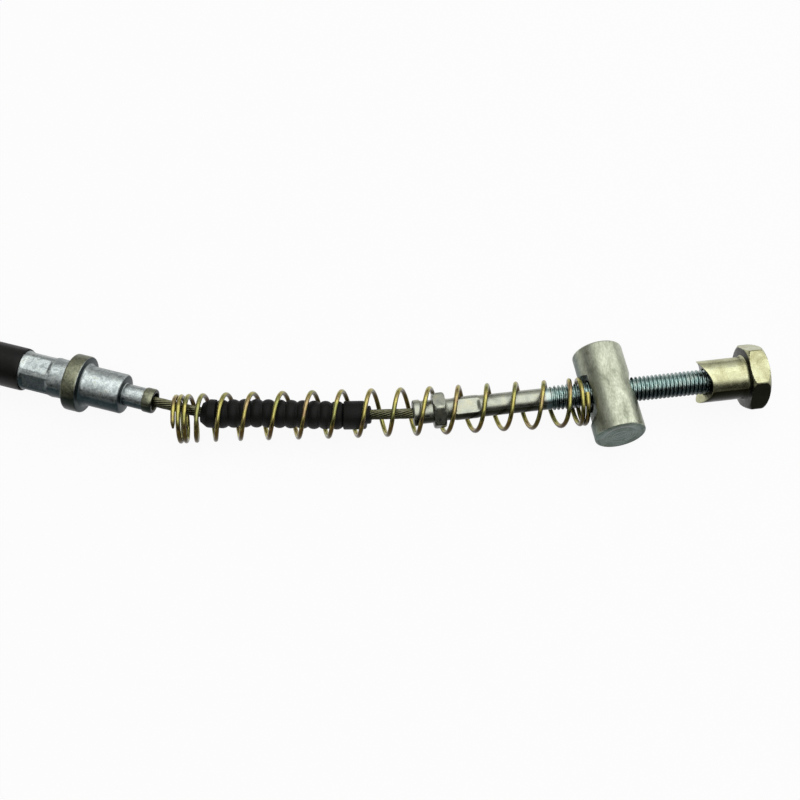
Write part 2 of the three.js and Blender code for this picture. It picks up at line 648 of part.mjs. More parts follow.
// The near end of the casing, in the ferrule's own frame.
const casingEnd = new THREE.Group();
casingEnd.position.copy(lipCentre);
casingEnd.rotation.z = radians(FERRULE_TURN);
const conduitFrom = SOCKET_FROM + GAP;
casingEnd.add(
  mesh('casing_ferrule', ferruleGeometry(), steel),
  mesh('protective_sleeve', sleeveGeometry(), rubber),
  mesh('casing_jacket', tube(conduitFrom, SLEEVE_TO, CASING_D, JACKET_BORE_D, 20), jacketPlastic),
  mesh('casing_armour', tube(conduitFrom, SLEEVE_TO, ARMOUR_D, ARMOUR_BORE_D, 16), wireSteel),
  mesh('casing_liner', tube(conduitFrom, SLEEVE_TO, LINER_D, LINER_BORE_D, 16), linerPlastic),
);

// The wire, the boot on it and the spring round it.
const curve = wireCurve();
const wireParts = new THREE.Group();
wireParts.add(
  mesh('inner_wire', laidBar(curve, 0, curve.getLength(), WIRE_D, 3.2, WIRE_SIDES), wireSteel),
  mesh('wire_boot', bootGeometry(curve), rubber),
  mesh('return_spring', springGeometry(), goldZinc),
);

// The rod and what slides and turns on it, in the rod's own frame.
const rodParts = new THREE.Group();
rodParts.position.z = ROD_Z;
const rod = mesh('threaded_rod', rodGeometry(), steel);
rod.position.x = ROD_X;
rod.rotation.x = radians(ROD_HEX_TURN);
const barrel = mesh('barrel_pin', barrelGeometry(), zinc);
barrel.position.set(BARREL_X, BARREL_OFFSET, -BARREL_SAG);
barrel.rotation.z = radians(BARREL_YAW);
rodParts.add(rod, barrel, mesh('adjuster_nut', nutGeometry(), zinc));

// The rest of the casing, tied in a coil, and the far end of the cable.
const capFrom = tailTo + TAIL_STRAIGHT;
const farWireTo = capFrom + CAP_LENGTH + BARE_WIRE + NIPPLE_HOLE_DEPTH - GAP;
const nippleAt = capFrom + CAP_LENGTH + BARE_WIRE + NIPPLE_D / 2;
const farEnd = new THREE.Group();
farEnd.position.copy(tailPoint(0, TAIL_Z));
const cap = mesh('end_cap', capGeometry(), steel);
cap.position.x = capFrom;
const nipple = mesh('wire_nipple', nippleGeometry(), zinc);
nipple.position.x = nippleAt;
const tailEnd = tube(tailTo + GAP, capFrom + CAP_GRIP, CASING_D, LINER_BORE_D, 12);
const farWire = bar(capFrom + CAP_GRIP - 2, farWireTo, WIRE_D, WIRE_SIDES);
farEnd.add(mesh('casing_end', tailEnd, jacketPlastic), cap, mesh('far_wire', farWire, wireSteel), nipple);

const coiled = new THREE.Group();
coiled.add(
  mesh('casing_run', runGeometry(), jacketPlastic),
  mesh('casing_coil', coilGeometry(0, 3), jacketPlastic),
  mesh('casing_tail', tailGeometry(), jacketPlastic),
  farEnd,
);
TIE_TURNS.forEach((turn, i) => coiled.add(mesh(`coil_tie_${i + 1}`, tieGeometry(turn), tiePlastic)));

// The origin is under the middle of the cable's near end, without the coil.
const part = new THREE.Group();
part.add(casingEnd, wireParts, rodParts, coiled);
part.updateMatrixWorld(true);
const nearEnd = new THREE.Box3();
for (const piece of [casingEnd, wireParts, rodParts]) nearEnd.expandByObject(piece, true);
const middle = nearEnd.getCenter(new THREE.Vector3());
part.position.set(-middle.x, -middle.y, -nearEnd.min.z);
part.updateMatrixWorld(true);

export default part;
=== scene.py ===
import math
import bmesh
import bpy
import numpy as np
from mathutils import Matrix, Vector


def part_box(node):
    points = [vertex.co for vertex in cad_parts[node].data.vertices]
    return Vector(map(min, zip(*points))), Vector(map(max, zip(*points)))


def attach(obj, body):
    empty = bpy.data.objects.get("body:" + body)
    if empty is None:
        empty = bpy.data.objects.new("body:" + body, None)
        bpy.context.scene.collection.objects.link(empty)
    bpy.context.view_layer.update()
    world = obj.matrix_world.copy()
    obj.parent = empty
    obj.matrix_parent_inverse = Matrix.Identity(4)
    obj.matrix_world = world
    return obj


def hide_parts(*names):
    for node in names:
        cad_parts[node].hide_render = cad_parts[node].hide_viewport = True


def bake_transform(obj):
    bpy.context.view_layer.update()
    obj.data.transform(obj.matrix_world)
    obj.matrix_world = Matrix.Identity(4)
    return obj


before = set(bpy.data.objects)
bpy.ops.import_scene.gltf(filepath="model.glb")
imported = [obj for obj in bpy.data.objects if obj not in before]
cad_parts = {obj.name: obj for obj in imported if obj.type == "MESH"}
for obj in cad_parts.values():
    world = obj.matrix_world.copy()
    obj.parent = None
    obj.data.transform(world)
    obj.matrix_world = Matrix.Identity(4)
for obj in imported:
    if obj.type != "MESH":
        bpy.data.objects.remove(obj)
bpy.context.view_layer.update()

# The rod's own frame: X along the rod, and the rod's axis at y = 0 and the height of the nut's middle, in
# millimetres.
rod_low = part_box("threaded_rod")[0]
nut_low, nut_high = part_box("adjuster_nut")
ROD_Z = (nut_low.z + nut_high.z) * 500
ROD_FROM = 2.6
SHIFT = np.array([rod_low.x * 1000 - ROD_FROM, (nut_low.y + nut_high.y) * 500, 0.0])


def metres(p):
    """Millimetres in the rod's frame to metres in the model's frame."""
    return (np.asarray(p, float) + SHIFT) / 1000


def point(x, y, z):
    return Vector(metres((x, y, z)))


# Camera
AZIMUTH, ELEVATION, DISTANCE, LENS = -6.97, 62.0, 0.282, 52.65
AIM_Y = 3.95
a, e = math.radians(AZIMUTH), math.radians(ELEVATION)
back = Vector((math.sin(a) * math.cos(e), -math.cos(a) * math.cos(e), math.sin(e)))
camera = bpy.data.objects.new("camera", bpy.data.cameras.new("camera"))
bpy.context.scene.collection.objects.link(camera)
camera.data.sensor_width = 36
camera.data.lens = LENS
camera.data.clip_start, camera.data.clip_end = 0.01, 20
camera.location = point(0, AIM_Y, ROD_Z) + back * DISTANCE
camera.rotation_mode = "QUATERNION"
camera.rotation_quaternion = (-back).to_track_quat("-Z", "Y")
bpy.context.scene.camera = camera

# Curves


def catmull(points, per=24):
    """A centripetal Catmull-Rom line through the points, sampled finely."""
    pts = [np.asarray(p, float) for p in points]
    pts = [2 * pts[0] - pts[1]] + pts + [2 * pts[-1] - pts[-2]]
    out = []
    for i in range(1, len(pts) - 2):
        p0, p1, p2, p3 = pts[i - 1:i + 3]
        d0, d1, d2 = (math.sqrt(np.linalg.norm(b - a)) for a, b in ((p0, p1), (p1, p2), (p2, p3)))
        t1 = ((p1 - p0) / d0 - (p2 - p0) / (d0 + d1) + (p2 - p1) / d1) * d1
        t2 = ((p2 - p1) / d1 - (p3 - p1) / (d1 + d2) + (p3 - p2) / d2) * d1
        for k in range(per):
            t = k / per
            square, cube = 3 * (p2 - p1) - 2 * t1 - t2, 2 * (p1 - p2) + t1 + t2
            out.append(p1 + t1 * t + square * t ** 2 + cube * t ** 3)
    out.append(pts[-2])
    return np.array(out)


class Line:
    """A polyline that is read by its length, with a side and a lift direction at each place."""

    def __init__(self, points):
        self.p = np.asarray(points, float)
        self.s = np.concatenate([[0], np.cumsum(np.linalg.norm(np.diff(self.p, axis=0), axis=1))])
        self.length = self.s[-1]

    def at(self, s):
        s = np.atleast_1d(s)
        return np.stack([np.interp(s, self.s, self.p[:, k]) for k in range(3)], 1)

    def frame(self, s):
        s, reach = np.atleast_1d(s), 0.4
        tangent = self.at(np.minimum(s + reach, self.length)) - self.at(np.maximum(s - reach, 0))
        tangent /= np.linalg.norm(tangent, axis=1)[:, None]
        side = np.cross((0, 0, 1), tangent)
        side /= np.linalg.norm(side, axis=1)[:, None]
        return self.at(s), tangent, side, np.cross(tangent, side)


# Meshes


def mesh_piece(name, verts, faces, sharp=35):
    """A piece from points in metres and faces, shaded smooth except at its sharp edges."""
    me = bpy.data.meshes.new(name)
    me.from_pydata([tuple(v) for v in verts], [], [tuple(f) for f in faces])
    bm = bmesh.new()
    bm.from_mesh(me)
    bmesh.ops.remove_doubles(bm, verts=bm.verts, dist=2e-7)
    bmesh.ops.recalc_face_normals(bm, faces=bm.faces)
    bm.to_mesh(me)
    bm.free()
    me.shade_smooth()
    me.set_sharp_from_angle(angle=math.radians(sharp))
    piece = bpy.data.objects.new(name, me)
    bpy.context.scene.collection.objects.link(piece)
    return piece


def grid_faces(rows, cols, wrap_rows=False):
    """The quads of a grid whose columns wrap round."""
    faces = []
    for i in range(rows if wrap_rows else rows - 1):
        j = (i + 1) % rows
        for k in range(cols):
            m = (k + 1) % cols
            faces.append((i * cols + k, i * cols + m, j * cols + m, j * cols + k))
    return faces


def angles(sides):
    return np.arange(sides) * 2 * math.pi / sides


def turned(rows, sides, place, wrap=True):
    """Points and faces of a turned piece. Each row is (x, r), numbers or arrays over the angle, which is 0 at
    the top and grows towards -Y. wrap joins the last row to the first; otherwise both ends are closed."""
    phi = angles(sides)
    points = []
    for x, r in rows:
        x, r = np.broadcast_to(x, phi.shape), np.broadcast_to(r, phi.shape)
        points.append(np.stack([x, -r * np.sin(phi), r * np.cos(phi)], 1))
    points = place(np.concatenate(points))
    faces = grid_faces(len(rows), sides, wrap)
    if not wrap:
        faces.append(tuple(range(sides)))
        faces.append(tuple(range((len(rows) - 1) * sides, len(rows) * sides)))
    return points, faces


def on_rod(p, x=0.0, turn=0.0):
    """Places a turned piece on the rod's axis."""
    p = np.asarray(p, float).copy()
    t = math.radians(turn)
    y, z = p[:, 1] * math.cos(t) - p[:, 2] * math.sin(t), p[:, 1] * math.sin(t) + p[:, 2] * math.cos(t)
    return metres(np.stack([p[:, 0] + x, y, z + ROD_Z], 1))


def on_ferrule(p):
    """Places a turned piece on the ferrule's axis, which starts at its lip and runs into the casing."""
    p = np.asarray(p, float)
    side = np.array([-math.sin(FERRULE_TURN), math.cos(FERRULE_TURN), 0])
    return metres(LIP + p[:, :1] * INTO + p[:, 1:2] * side + p[:, 2:] * np.array([0, 0, 1]))


def along(line, start=0.0):
    """Places a turned piece along a line, from a length on."""
    def place(p):
        c, _, side, lift = line.frame(p[:, 0] + start)
        return metres(c + side * p[:, 1:2] + lift * p[:, 2:])
    return place


def swept(line, offsets, radius, sides):
    """A round wire along a line of points, as a closed tube's points and faces. radius is one number, or one
    per point."""
    n = len(line)
    radius = np.broadcast_to(radius, n)[:, None, None]
    tangent = np.gradient(line, axis=0)
    tangent /= np.linalg.norm(tangent, axis=1)[:, None]
    u = offsets - (offsets * tangent).sum(1)[:, None] * tangent
    u /= np.linalg.norm(u, axis=1)[:, None]
    v = np.cross(tangent, u)
    phi = angles(sides)
    ring = u[:, None] * np.cos(phi)[None, :, None] + v[:, None] * np.sin(phi)[None, :, None]
    points = (line[:, None] + radius * ring).reshape(-1, 3)
    faces = grid_faces(n, sides)
    faces += [tuple(range(sides)), tuple(range((n - 1) * sides, n * sides))]
    return points, faces


def joined(parts):
    """Several (points, faces) as one."""
    points, faces, first = [], [], 0
    for p, f in parts:
        points.append(p)
        faces += [tuple(i + first for i in face) for face in f]
        first += len(p)
    return np.concatenate(points), faces


# Materials


def calculated(tree, operation, first, second):
    """A calculation in a node tree, from sockets or numbers."""
    node = tree.nodes.new("ShaderNodeMath")
    node.operation = operation
    for socket, value in zip(node.inputs, (first, second)):
        if isinstance(value, (int, float)):
            socket.default_value = value
        else:
            tree.links.new(value, socket)
    return node.outputs[0]


class Nodes:
    """Short names for the nodes of one material."""

    def __init__(self, name):
        self.m = bpy.data.materials.new(name)
        self.m.use_nodes = True
        self.t = self.m.node_tree
        self.b = self.t.nodes["Principled BSDF"]
        self.coord = self.t.nodes.new("ShaderNodeTexCoord")
        self.mm = self.add("ShaderNodeVectorMath", operation="SCALE")
        self.mm.inputs["Scale"].default_value = 1000
        self.link(self.coord.outputs["Object"], self.mm.inputs[0])

    def add(self, kind, **values):
        node = self.t.nodes.new(kind)
        for k, v in values.items():
            setattr(node, k, v)
        return node

    def link(self, a, b):
        self.t.links.new(a, b)

    def noise(self, scale, detail=3, rough=0.55, stretch=(1, 1, 1), distortion=0.0):
        mapping = self.add("ShaderNodeMapping")
        mapping.inputs["Scale"].default_value = stretch
        self.link(self.mm.outputs[0], mapping.inputs["Vector"])
        node = self.add("ShaderNodeTexNoise")
        node.inputs["Scale"].default_value = scale
        node.inputs["Detail"].default_value = detail
        node.inputs["Roughness"].default_value = rough
        node.inputs["Distortion"].default_value = distortion
        self.link(mapping.outputs[0], node.inputs["Vector"])
        return node.outputs["Fac"]

    def ramp(self, fac, stops):
        node = self.add("ShaderNodeValToRGB")
        while len(node.color_ramp.elements) < len(stops):
            node.color_ramp.elements.new(0.5)
        for element, (at, colour) in zip(node.color_ramp.elements, stops):
            element.position = at
            element.color = (*colour, 1)
        self.link(fac, node.inputs["Fac"])
        return node.outputs["Color"]

    def range(self, value, a, b, c, d):
        node = self.add("ShaderNodeMapRange")
        for k, v in zip(("From Min", "From Max", "To Min", "To Max"), (a, b, c, d)):
            node.inputs[k].default_value = v
        self.link(value, node.inputs["Value"])
        return node.outputs["Result"]

    def mix(self, fac, a, b, blend="MIX"):
        node = self.add("ShaderNodeMix", data_type="RGBA", blend_type=blend)
        for socket, value in ((node.inputs[0], fac), (node.inputs[6], a), (node.inputs[7], b)):
            if isinstance(value, (int, float)):
                socket.default_value = value
            elif isinstance(value, tuple):
                socket.default_value = (*value, 1)
            else:
                self.link(value, socket)
        return node.outputs[2]

    def along(self, origin, direction):
        """Millimetres from a place in the rod's frame, along a direction."""
        away = self.add("ShaderNodeVectorMath", operation="SUBTRACT")
        self.link(self.mm.outputs[0], away.inputs[0])
        away.inputs[1].default_value = tuple(metres(origin) * 1000)
        dot = self.add("ShaderNodeVectorMath", operation="DOT_PRODUCT")
        self.link(away.outputs[0], dot.inputs[0])
        dot.inputs[1].default_value = tuple(direction)
        return dot.outputs["Value"]

    def painted_shade_below(self, colour, dark):
        """Painted shade: darkens the colour of what doesn't face up, end faces too, by the way the face points
        in the piece's own frame, as where the surroundings are close and dark.
        """
        dot = self.add("ShaderNodeVectorMath", operation="DOT_PRODUCT")
        self.link(self.coord.outputs["Normal"], dot.inputs[0])
        dot.inputs[1].default_value = (0, 0.34, 0.94)
        fac = self.range(dot.outputs["Value"], 0.15, 0.5, 1, 0)
        return self.mix(fac, colour, self.mix(1.0, colour, dark, "MULTIPLY"))

    def away(self, colour, share):
        """Painted reflection: dulls the colour of what faces the back, by the way the face points in the
        piece's own frame, for the floor close behind the cable that such faces mirror.
        """
        dot = self.add("ShaderNodeVectorMath", operation="DOT_PRODUCT")
        self.link(self.coord.outputs["Normal"], dot.inputs[0])
        dot.inputs[1].default_value = (0, -0.35, 0.94)
        return self.mix(1.0, colour, self.range(dot.outputs["Value"], 0.35, 0.95, share, 1), "MULTIPLY")

    def bump(self, height, strength, distance):
        node = self.add("ShaderNodeBump")
        node.inputs["Strength"].default_value = strength
        node.inputs["Distance"].default_value = distance
        self.link(height, node.inputs["Height"])
        self.link(node.outputs[0], self.b.inputs["Normal"])

    def base(self, colour):
        self.link(colour, self.b.inputs["Base Color"])

    def rough(self, value):
        self.link(value, self.b.inputs["Roughness"])


def plated(name, stops, scale=0.35, rough=(0.28, 0.42), dark=(0.3, 0.3, 0.29), grain=6.0, bump=0.12,
           stretch=(1, 1, 1), bands=(), band_colour=(1, 1, 1), speckled=0.6, back=0.85):
    """Zinc plate: a cloudy colour, uneven gloss and a fine grain. speckled is the grain's share in the colour.
    dark multiplies the colour of what faces down or sideways, as painted shade, and back that of what faces
    the back, as a painted reflection. Bands are (origin, direction, from, to) in millimetres, where the colour
    is multiplied by band_colour."""
    n = Nodes(name)
    cloud = n.noise(scale, 4, 0.65, stretch, 0.6)
    fine = n.noise(grain, 3, 0.6, stretch)
    colour = n.ramp(cloud, stops)
    speckle = n.mix(1.0, colour, n.ramp(fine, [(0.32, (0.62,) * 3), (0.68, (1.3,) * 3)]), "MULTIPLY")
    colour = n.mix(speckled, colour, speckle)
    for origin, direction, start, end in bands:
        u = n.along(origin, direction)
        after_start = n.range(u, start - 0.15, start + 0.1, 0, 1)
        within = calculated(n.t, "MULTIPLY", after_start, n.range(u, end - 0.1, end + 0.15, 1, 0))
        colour = n.mix(within, colour, n.mix(1.0, colour, band_colour, "MULTIPLY"))
    # Painted shade below and a painted reflection at the back, both by the way each face points in the piece's
    # own frame.
    n.base(n.painted_shade_below(n.away(colour, back), dark))
    n.b.inputs["Metallic"].default_value = 1
    n.rough(n.range(n.noise(scale * 4, 3), 0.3, 0.7, *rough))
    n.bump(fine, bump, 0.0001)
    return n.m


FERRULE_TURN = math.radians(157.8)
LIP = np.array([-58.61, 10.65, ROD_Z])
INTO = np.array([math.cos(FERRULE_TURN), math.sin(FERRULE_TURN), 0])

# In each zinc below, dark is the colour of its painted shade on what faces down or sideways, and back is what
# its painted reflection leaves of the colour on what faces the back.
BRIGHT = plated(
    "bright_zinc",
    [(0.3, (0.3, 0.34, 0.34)), (0.44, (0.42, 0.47, 0.46)), (0.56, (0.58, 0.64, 0.63)),
     (0.72, (0.4, 0.42, 0.35))],
    scale=0.75, dark=(0.06, 0.085, 0.095), grain=3.0, speckled=0.85, back=0.6,
    bands=[(LIP, INTO, -0.1, 2.45), (LIP, INTO, 17.75, 21.2)], band_colour=(0.46, 0.43, 0.3))
BARREL = plated(
    "mottled_zinc",
    [(0.3, (0.25, 0.27, 0.2)), (0.45, (0.42, 0.45, 0.34)), (0.58, (0.54, 0.57, 0.45)),
     (0.72, (0.34, 0.36, 0.26))],
    scale=0.28, rough=(0.32, 0.46), stretch=(1, 0.4, 1), grain=3.0, bump=0.2, dark=(0.27, 0.33, 0.38))
ROD = plated(
    "rod_zinc", [(0.3, (0.27, 0.28, 0.23)), (0.5, (0.4, 0.42, 0.35)), (0.7, (0.46, 0.45, 0.33))],
    scale=0.3, rough=(0.25, 0.38), dark=(0.04, 0.04, 0.03))
THREAD = plated(
    "thread_zinc", [(0.3, (0.22, 0.32, 0.31)), (0.5, (0.4, 0.54, 0.51)), (0.7, (0.5, 0.55, 0.5))],
    rough=(0.24, 0.34), dark=(0.08, 0.09, 0.1))
NUT = plated(
    "pale_gold_zinc",
    [(0.3, (0.36, 0.35, 0.19)), (0.45, (0.5, 0.5, 0.3)), (0.58, (0.62, 0.63, 0.4)),
     (0.72, (0.48, 0.49, 0.34))],
    scale=0.25, rough=(0.24, 0.36), dark=(0.012, 0.012, 0.008))
ROPE = plated(
    "rope_steel", [(0.3, (0.08, 0.075, 0.035)), (0.5, (0.14, 0.14, 0.08)), (0.7, (0.23, 0.23, 0.16))],
    scale=0.8, rough=(0.25, 0.38), dark=(0.15, 0.14, 0.1), bump=0.05)
SPRING = plated(
    "gold_zinc",
    [(0.26, (0.3, 0.15, 0.1)), (0.38, (0.38, 0.29, 0.14)), (0.48, (0.46, 0.41, 0.12)),
     (0.6, (0.3, 0.31, 0.1)), (0.74, (0.36, 0.35, 0.2))],
    scale=0.16, rough=(0.2, 0.32), dark=(0.16, 0.12, 0.08), grain=1.5, bump=0.03, speckled=0.3)


def moulded(name, colour, rough, grain, strength, spot):
    """Rubber or plastic: an even colour with slight clouds and a fine grain."""
    n = Nodes(name)
    fine = n.noise(grain, 4, 0.6)
    n.base(n.mix(n.range(n.noise(0.5, 3), 0.4, 0.8, 0, 0.6), colour, spot))
    n.rough(n.range(fine, 0.3, 0.7, rough - 0.08, rough + 0.08))
    n.bump(fine, strength, 0.0001)
    n.b.inputs["Specular IOR Level"].default_value = 0.18
    return n.m


RUBBER = moulded("black_rubber", (0.004, 0.004, 0.0035), 0.55, 5.0, 0.25, (0.009, 0.009, 0.008))
SLEEVE = moulded("sleeve_rubber", (0.004, 0.004, 0.0035), 0.4, 3.0, 0.15, (0.01, 0.01, 0.007))
JACKET = moulded("casing_plastic", (0.012, 0.012, 0.012), 0.33, 4.0, 0.1, (0.02, 0.02, 0.02))
TIE = moulded("tie_plastic", (0.02, 0.02, 0.02), 0.4, 6.0, 0.1, (0.035, 0.035, 0.035))
LINER = moulded("liner_plastic", (0.75, 0.74, 0.68), 0.5, 4.0, 0.1, (0.6, 0.58, 0.5))


def finish(piece, body, material, slot, *nodes):
    piece.data.materials.clear()
    piece.data.materials.append(material)
    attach(piece, body)
    if nodes:
        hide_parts(*nodes)
    return piece


# The casing past the sleeve: straight, then four turns in a square bundle, and off to its far end.
CASING_R = 3.8
SLEEVE_END = 75.2
RUN_LENGTH = 73
MID_R = 42.0
FLOOR_GAP, TIE_T, GAP = 0.05, 0.9, 0.3
BUNDLE_Z = FLOOR_GAP + TIE_T + GAP + 2 * CASING_R
run_from = LIP + INTO * (SLEEVE_END + GAP)
run_to = run_from + INTO * RUN_LENGTH
left = np.array([-INTO[1], INTO[0], 0])
middle = run_to + left * (MID_R + CASING_R)
RUN = [(0, ROD_Z), (8, 7.4), (20, 5.9), (32, 4.4), (44, 4), (58, 4.6), (73, 5.05)]
TAIL = [(0, 12.65), (12, 12.65), (18, 12.1), (24, 11), (30, 9.4), (36, 7.7), (42, 6.3), (48, 5.25),
        (54, 4.85), (60, 4.8)]


def smooth(t):
    t = min(1, max(0, t))
    return t * t * (3 - 2 * t)


def casing_route():
    pts = [run_from + INTO * s + np.array([0, 0, z - ROD_Z]) for s, z in RUN[:-1]]
    start = math.degrees(math.atan2(*(run_to - middle)[[1, 0]]))
    low, high = BUNDLE_Z - CASING_R, BUNDLE_Z + CASING_R
    outer, inner = MID_R + CASING_R, MID_R - CASING_R
    total = 3 * 360 + (270 - start) % 360
    steps = int(total / 12)
    for i in range(steps + 1):
        turn = total * i / steps
        r = outer - (outer - inner) * smooth((turn - 285) / 70) + (outer - inner) * smooth((turn - 850) / 80)
        z = low + (high - low) * smooth((turn - 580) / 75)
        t = math.radians(start + turn)
        pts.append(np.array([middle[0] + r * math.cos(t), middle[1] + r * math.sin(t), z]))
    pts += [np.array([middle[0] + s, middle[1] - outer, z]) for s, z in TAIL[1:]]
    pts += [np.array([middle[0] + s, middle[1] - outer, TAIL[-1][1]]) for s in (66, 72, 77.2)]
    return Line(catmull(pts, 6))


route = casing_route()
ROUTE_STEP = 2.4
count = int(route.length / ROUTE_STEP)
places = route.at(np.linspace(0, route.length, count))
data = bpy.data.curves.new("brake_casing", "CURVE")
data.dimensions = "3D"
data.bevel_depth = CASING_R / 1000
data.bevel_resolution = 6
data.use_fill_caps = True
spline = data.splines.new("POLY")
spline.points.add(count - 1)
for q, p in zip(spline.points, metres(places)):
    q.co = (*p, 1)
spline.use_smooth = True
casing = bpy.data.objects.new("brake_casing", data)
bpy.context.scene.collection.objects.link(casing)
finish(casing, "casing", JACKET, "casing_black", "casing_run", "casing_coil", "casing_tail", "casing_end")

# The wire's own line
WIRE = [(-45.4, 6.08, -0.55), (-37, 5.23, -0.67), (-28.8, 4.16, -0.9), (-20, 2.93, -1.19),
        (-16.3, 2.46, -1.29), (-11, 1.84, -1.41), (-7.9, 1.46, -1.1), (-3, 0.7, -0.45)]
wire_line = Line(catmull(
    [LIP + INTO * u for u in (46, 34, 22, 11, 3, 0, -2.6)]
    + [np.array([x, y, ROD_Z + z]) for x, y, z in WIRE]
    + [np.array([ROD_FROM + s, 0, ROD_Z]) for s in (0, 4, 13.7)]
))


def rope(line, start, end):
    """A core and a layer of wires wound round it, left-handed."""
    lay, wires, radius, wire_r, step = 25.0, 12, 1.25, 0.275, 0.9
    s = np.linspace(start, end, max(3, int((end - start) / step)))
    c, _, side, lift = line.frame(s)
    parts = [swept(c, lift, radius - 1.6 * wire_r, 10)]
    for k in range(wires):
        t = -2 * math.pi * s / lay + 2 * math.pi * k / wires
        out = -side * np.sin(t)[:, None] + lift * np.cos(t)[:, None]
        parts.append(swept(c + out * (radius - wire_r), out, wire_r, 8))
    points, faces = joined(parts)
    return metres(points), faces


inner_rope = mesh_piece("inner_rope", *rope(wire_line, 0, wire_line.length), sharp=60)
finish(inner_rope, "inner_wire", ROPE, "wire_rope", "inner_wire")

# The ferrule
FERRULE_SIDES = 192


def eased(x, a, b):
    t = np.clip((x - a) / (b - a), 0, 1)
    return t * t * (3 - 2 * t)


def ferrule_rows():
    phi = angles(FERRULE_SIDES)
    rows = [(6, 2.1), (0.3, 2.1), (0.05, 2.2), (0, 2.35), (0, 2.6), (0.08, 2.85), (0.35, 3.0), (2.2, 3.0),
            (2.42, 2.93), (2.5, 2.8), (2.55, 2.7), (7.5, 2.7), (7.65, 2.85), (7.65, 4.4), (7.72, 4.6),
            (8.0, 4.83), (8.1, 4.85), (16.4, 4.85), (16.8, 4.88), (17.15, 5.02), (17.4, 5.25), (17.55, 5.5),
            (17.6, 5.7), (17.6, 6.6), (17.66, 6.8), (17.85, 6.92), (18.1, 6.95), (20.8, 6.95), (21.1, 6.92),
            (21.26, 6.8), (21.3, 6.6), (21.3, 5.0), (21.4, 4.85), (21.6, 4.8)]
    nearest = np.round(phi / (math.pi / 3)) * (math.pi / 3)
    flat = 4.45 / np.cos(phi - nearest)
    # The six pressed faces of the crimp, each with its own ends.
    for x in np.concatenate([np.linspace(22, 25.2, 7), np.linspace(25.4, 27.2, 12),
                             np.linspace(27.6, 31.4, 8), np.linspace(31.6, 33.4, 12),
                             np.linspace(33.7, 35.2, 6)]):
        press = eased(x, 25.7, 26.5) * (1 - eased(x, 32.3, 33.1))
        swell = 0.12 * math.exp(-((x - 25.2) / 0.6) ** 2) + 0.1 * math.exp(-((x - 33.5) / 0.5) ** 2)
        r = np.full(FERRULE_SIDES, 4.8)
        r = r * (1 - press) + np.minimum(4.8, flat) * press + swell * np.cos(3 * (phi - nearest)) ** 2 * 0.8
        tail = eased(x, 33.6, 35.4)
        rows.append((x, r - 0.35 * tail ** 2))
    rows += [(35.4, 4.4), (35.5, 4.25), (35.5, 4.1), (22.3, 4.1), (22.3, 2.1)]
    return rows


ferrule = mesh_piece("crimped_ferrule", *turned(ferrule_rows(), FERRULE_SIDES, on_ferrule), sharp=38)
finish(ferrule, "casing", BRIGHT, "ferrule_zinc", "casing_ferrule")

# The sleeve, with its uneven cut end
SLEEVE_SIDES = 128
rng = np.random.default_rng(4)
round_sleeve = angles(SLEEVE_SIDES)
ragged = sum(rng.normal(0, 0.1 / k) * np.sin(k * round_sleeve + rng.uniform(0, 6.3))
             for k in (1, 2, 3, 5, 8, 13, 21))
ragged -= ragged.min()


def sleeve_rows():
    rows = [(36.3, 4.1), (36.2, 4.3), (36.0, 4.8), (33.9 + ragged, 4.88), (33.4 + ragged, 4.93),
            (33.32 + ragged, 5.02), (33.4 + ragged, 5.16), (33.8 + ragged * 0.5, 5.23), (35.6, 5.25),
            (40, 5.25)]
    rows += [(x, 5.25 - 0.02 * math.sin(x)) for x in np.linspace(44, 66, 12)]
    rows += [(67.2, 5.22), (70, 5.0), (74.6, 4.8), (75.0, 4.7), (75.2, 4.45), (75.2, 4.1)]
    return rows


sleeve = mesh_piece("rubber_sleeve", *turned(sleeve_rows(), SLEEVE_SIDES, on_ferrule), sharp=50)
finish(sleeve, "casing", SLEEVE, "sleeve_rubber", "protective_sleeve")

# The boot
BOOT_FROM = 57.8
RIDGES, RIDGE_PITCH, RIDGE_R, VALLEY_R, BOOT_BORE_R = 11, 2.75, 3.45, 2.8, 1.32


def boot_rows():
    rows = [(0.0, BOOT_BORE_R), (-0.0, 2.2), (0.05, 2.42), (0.3, 2.55), (1.4, 3.3), (1.7, 3.42),
            (2.0, RIDGE_R), (3.2, RIDGE_R), (3.42, 3.4)]
    for i in range(RIDGES):
        for t in np.linspace(0.03, 0.97, 13):
            swell = (RIDGE_R - VALLEY_R) * abs(math.sin(math.pi * t)) ** 0.55
            rows.append((3.5 + (i + t) * RIDGE_PITCH, VALLEY_R + swell))
    end = 3.5 + RIDGES * RIDGE_PITCH
    rows += [(end + 0.1, VALLEY_R), (end + 0.25, 3.35), (end + 0.5, RIDGE_R), (end + 4.9, RIDGE_R),
             (end + 5.3, 3.38), (end + 5.55, 3.15), (end + 5.6, 2.9), (end + 5.62, 2.3), (end + 5.75, 2.2),
             (end + 6.5, 2.18), (end + 6.75, 2.05), (end + 6.8, 1.8), (end + 6.8, BOOT_BORE_R)]
    rows += [(s, BOOT_BORE_R) for s in np.linspace(end + 6, 0.6, 16)]
    return rows


boot = mesh_piece("ridged_boot", *turned(boot_rows(), 64, along(wire_line, BOOT_FROM)), sharp=50)
finish(boot, "inner_wire", RUBBER, "boot_rubber", "wire_boot")

# The spring
SPRING_LINE = Line(catmull([
    (x, y, ROD_Z + z) for x, y, z in (
        (-53.9, 5.85, -1.05), (-41, 4.95, -1.05), (-22, 3.15, -1.03), (-3, 1.4, -0.85), (9, 0.22, -0.38),
        (24, -0.46, -0.75), (38, -1.3, -0.78), (44.15, -1.42, -0.7))
]))
# Where the first coil starts, and how open the coils are, as (turn, openness)
SPRING_START = 140.5
SPRING_OPEN = ((0, 0), (1.47, 0), (2.77, 0.33), (3.77, 0.75), (4.77, 0.84), (5.77, 1), (15.87, 0.94),
               (16.92, 0), (19, 0))


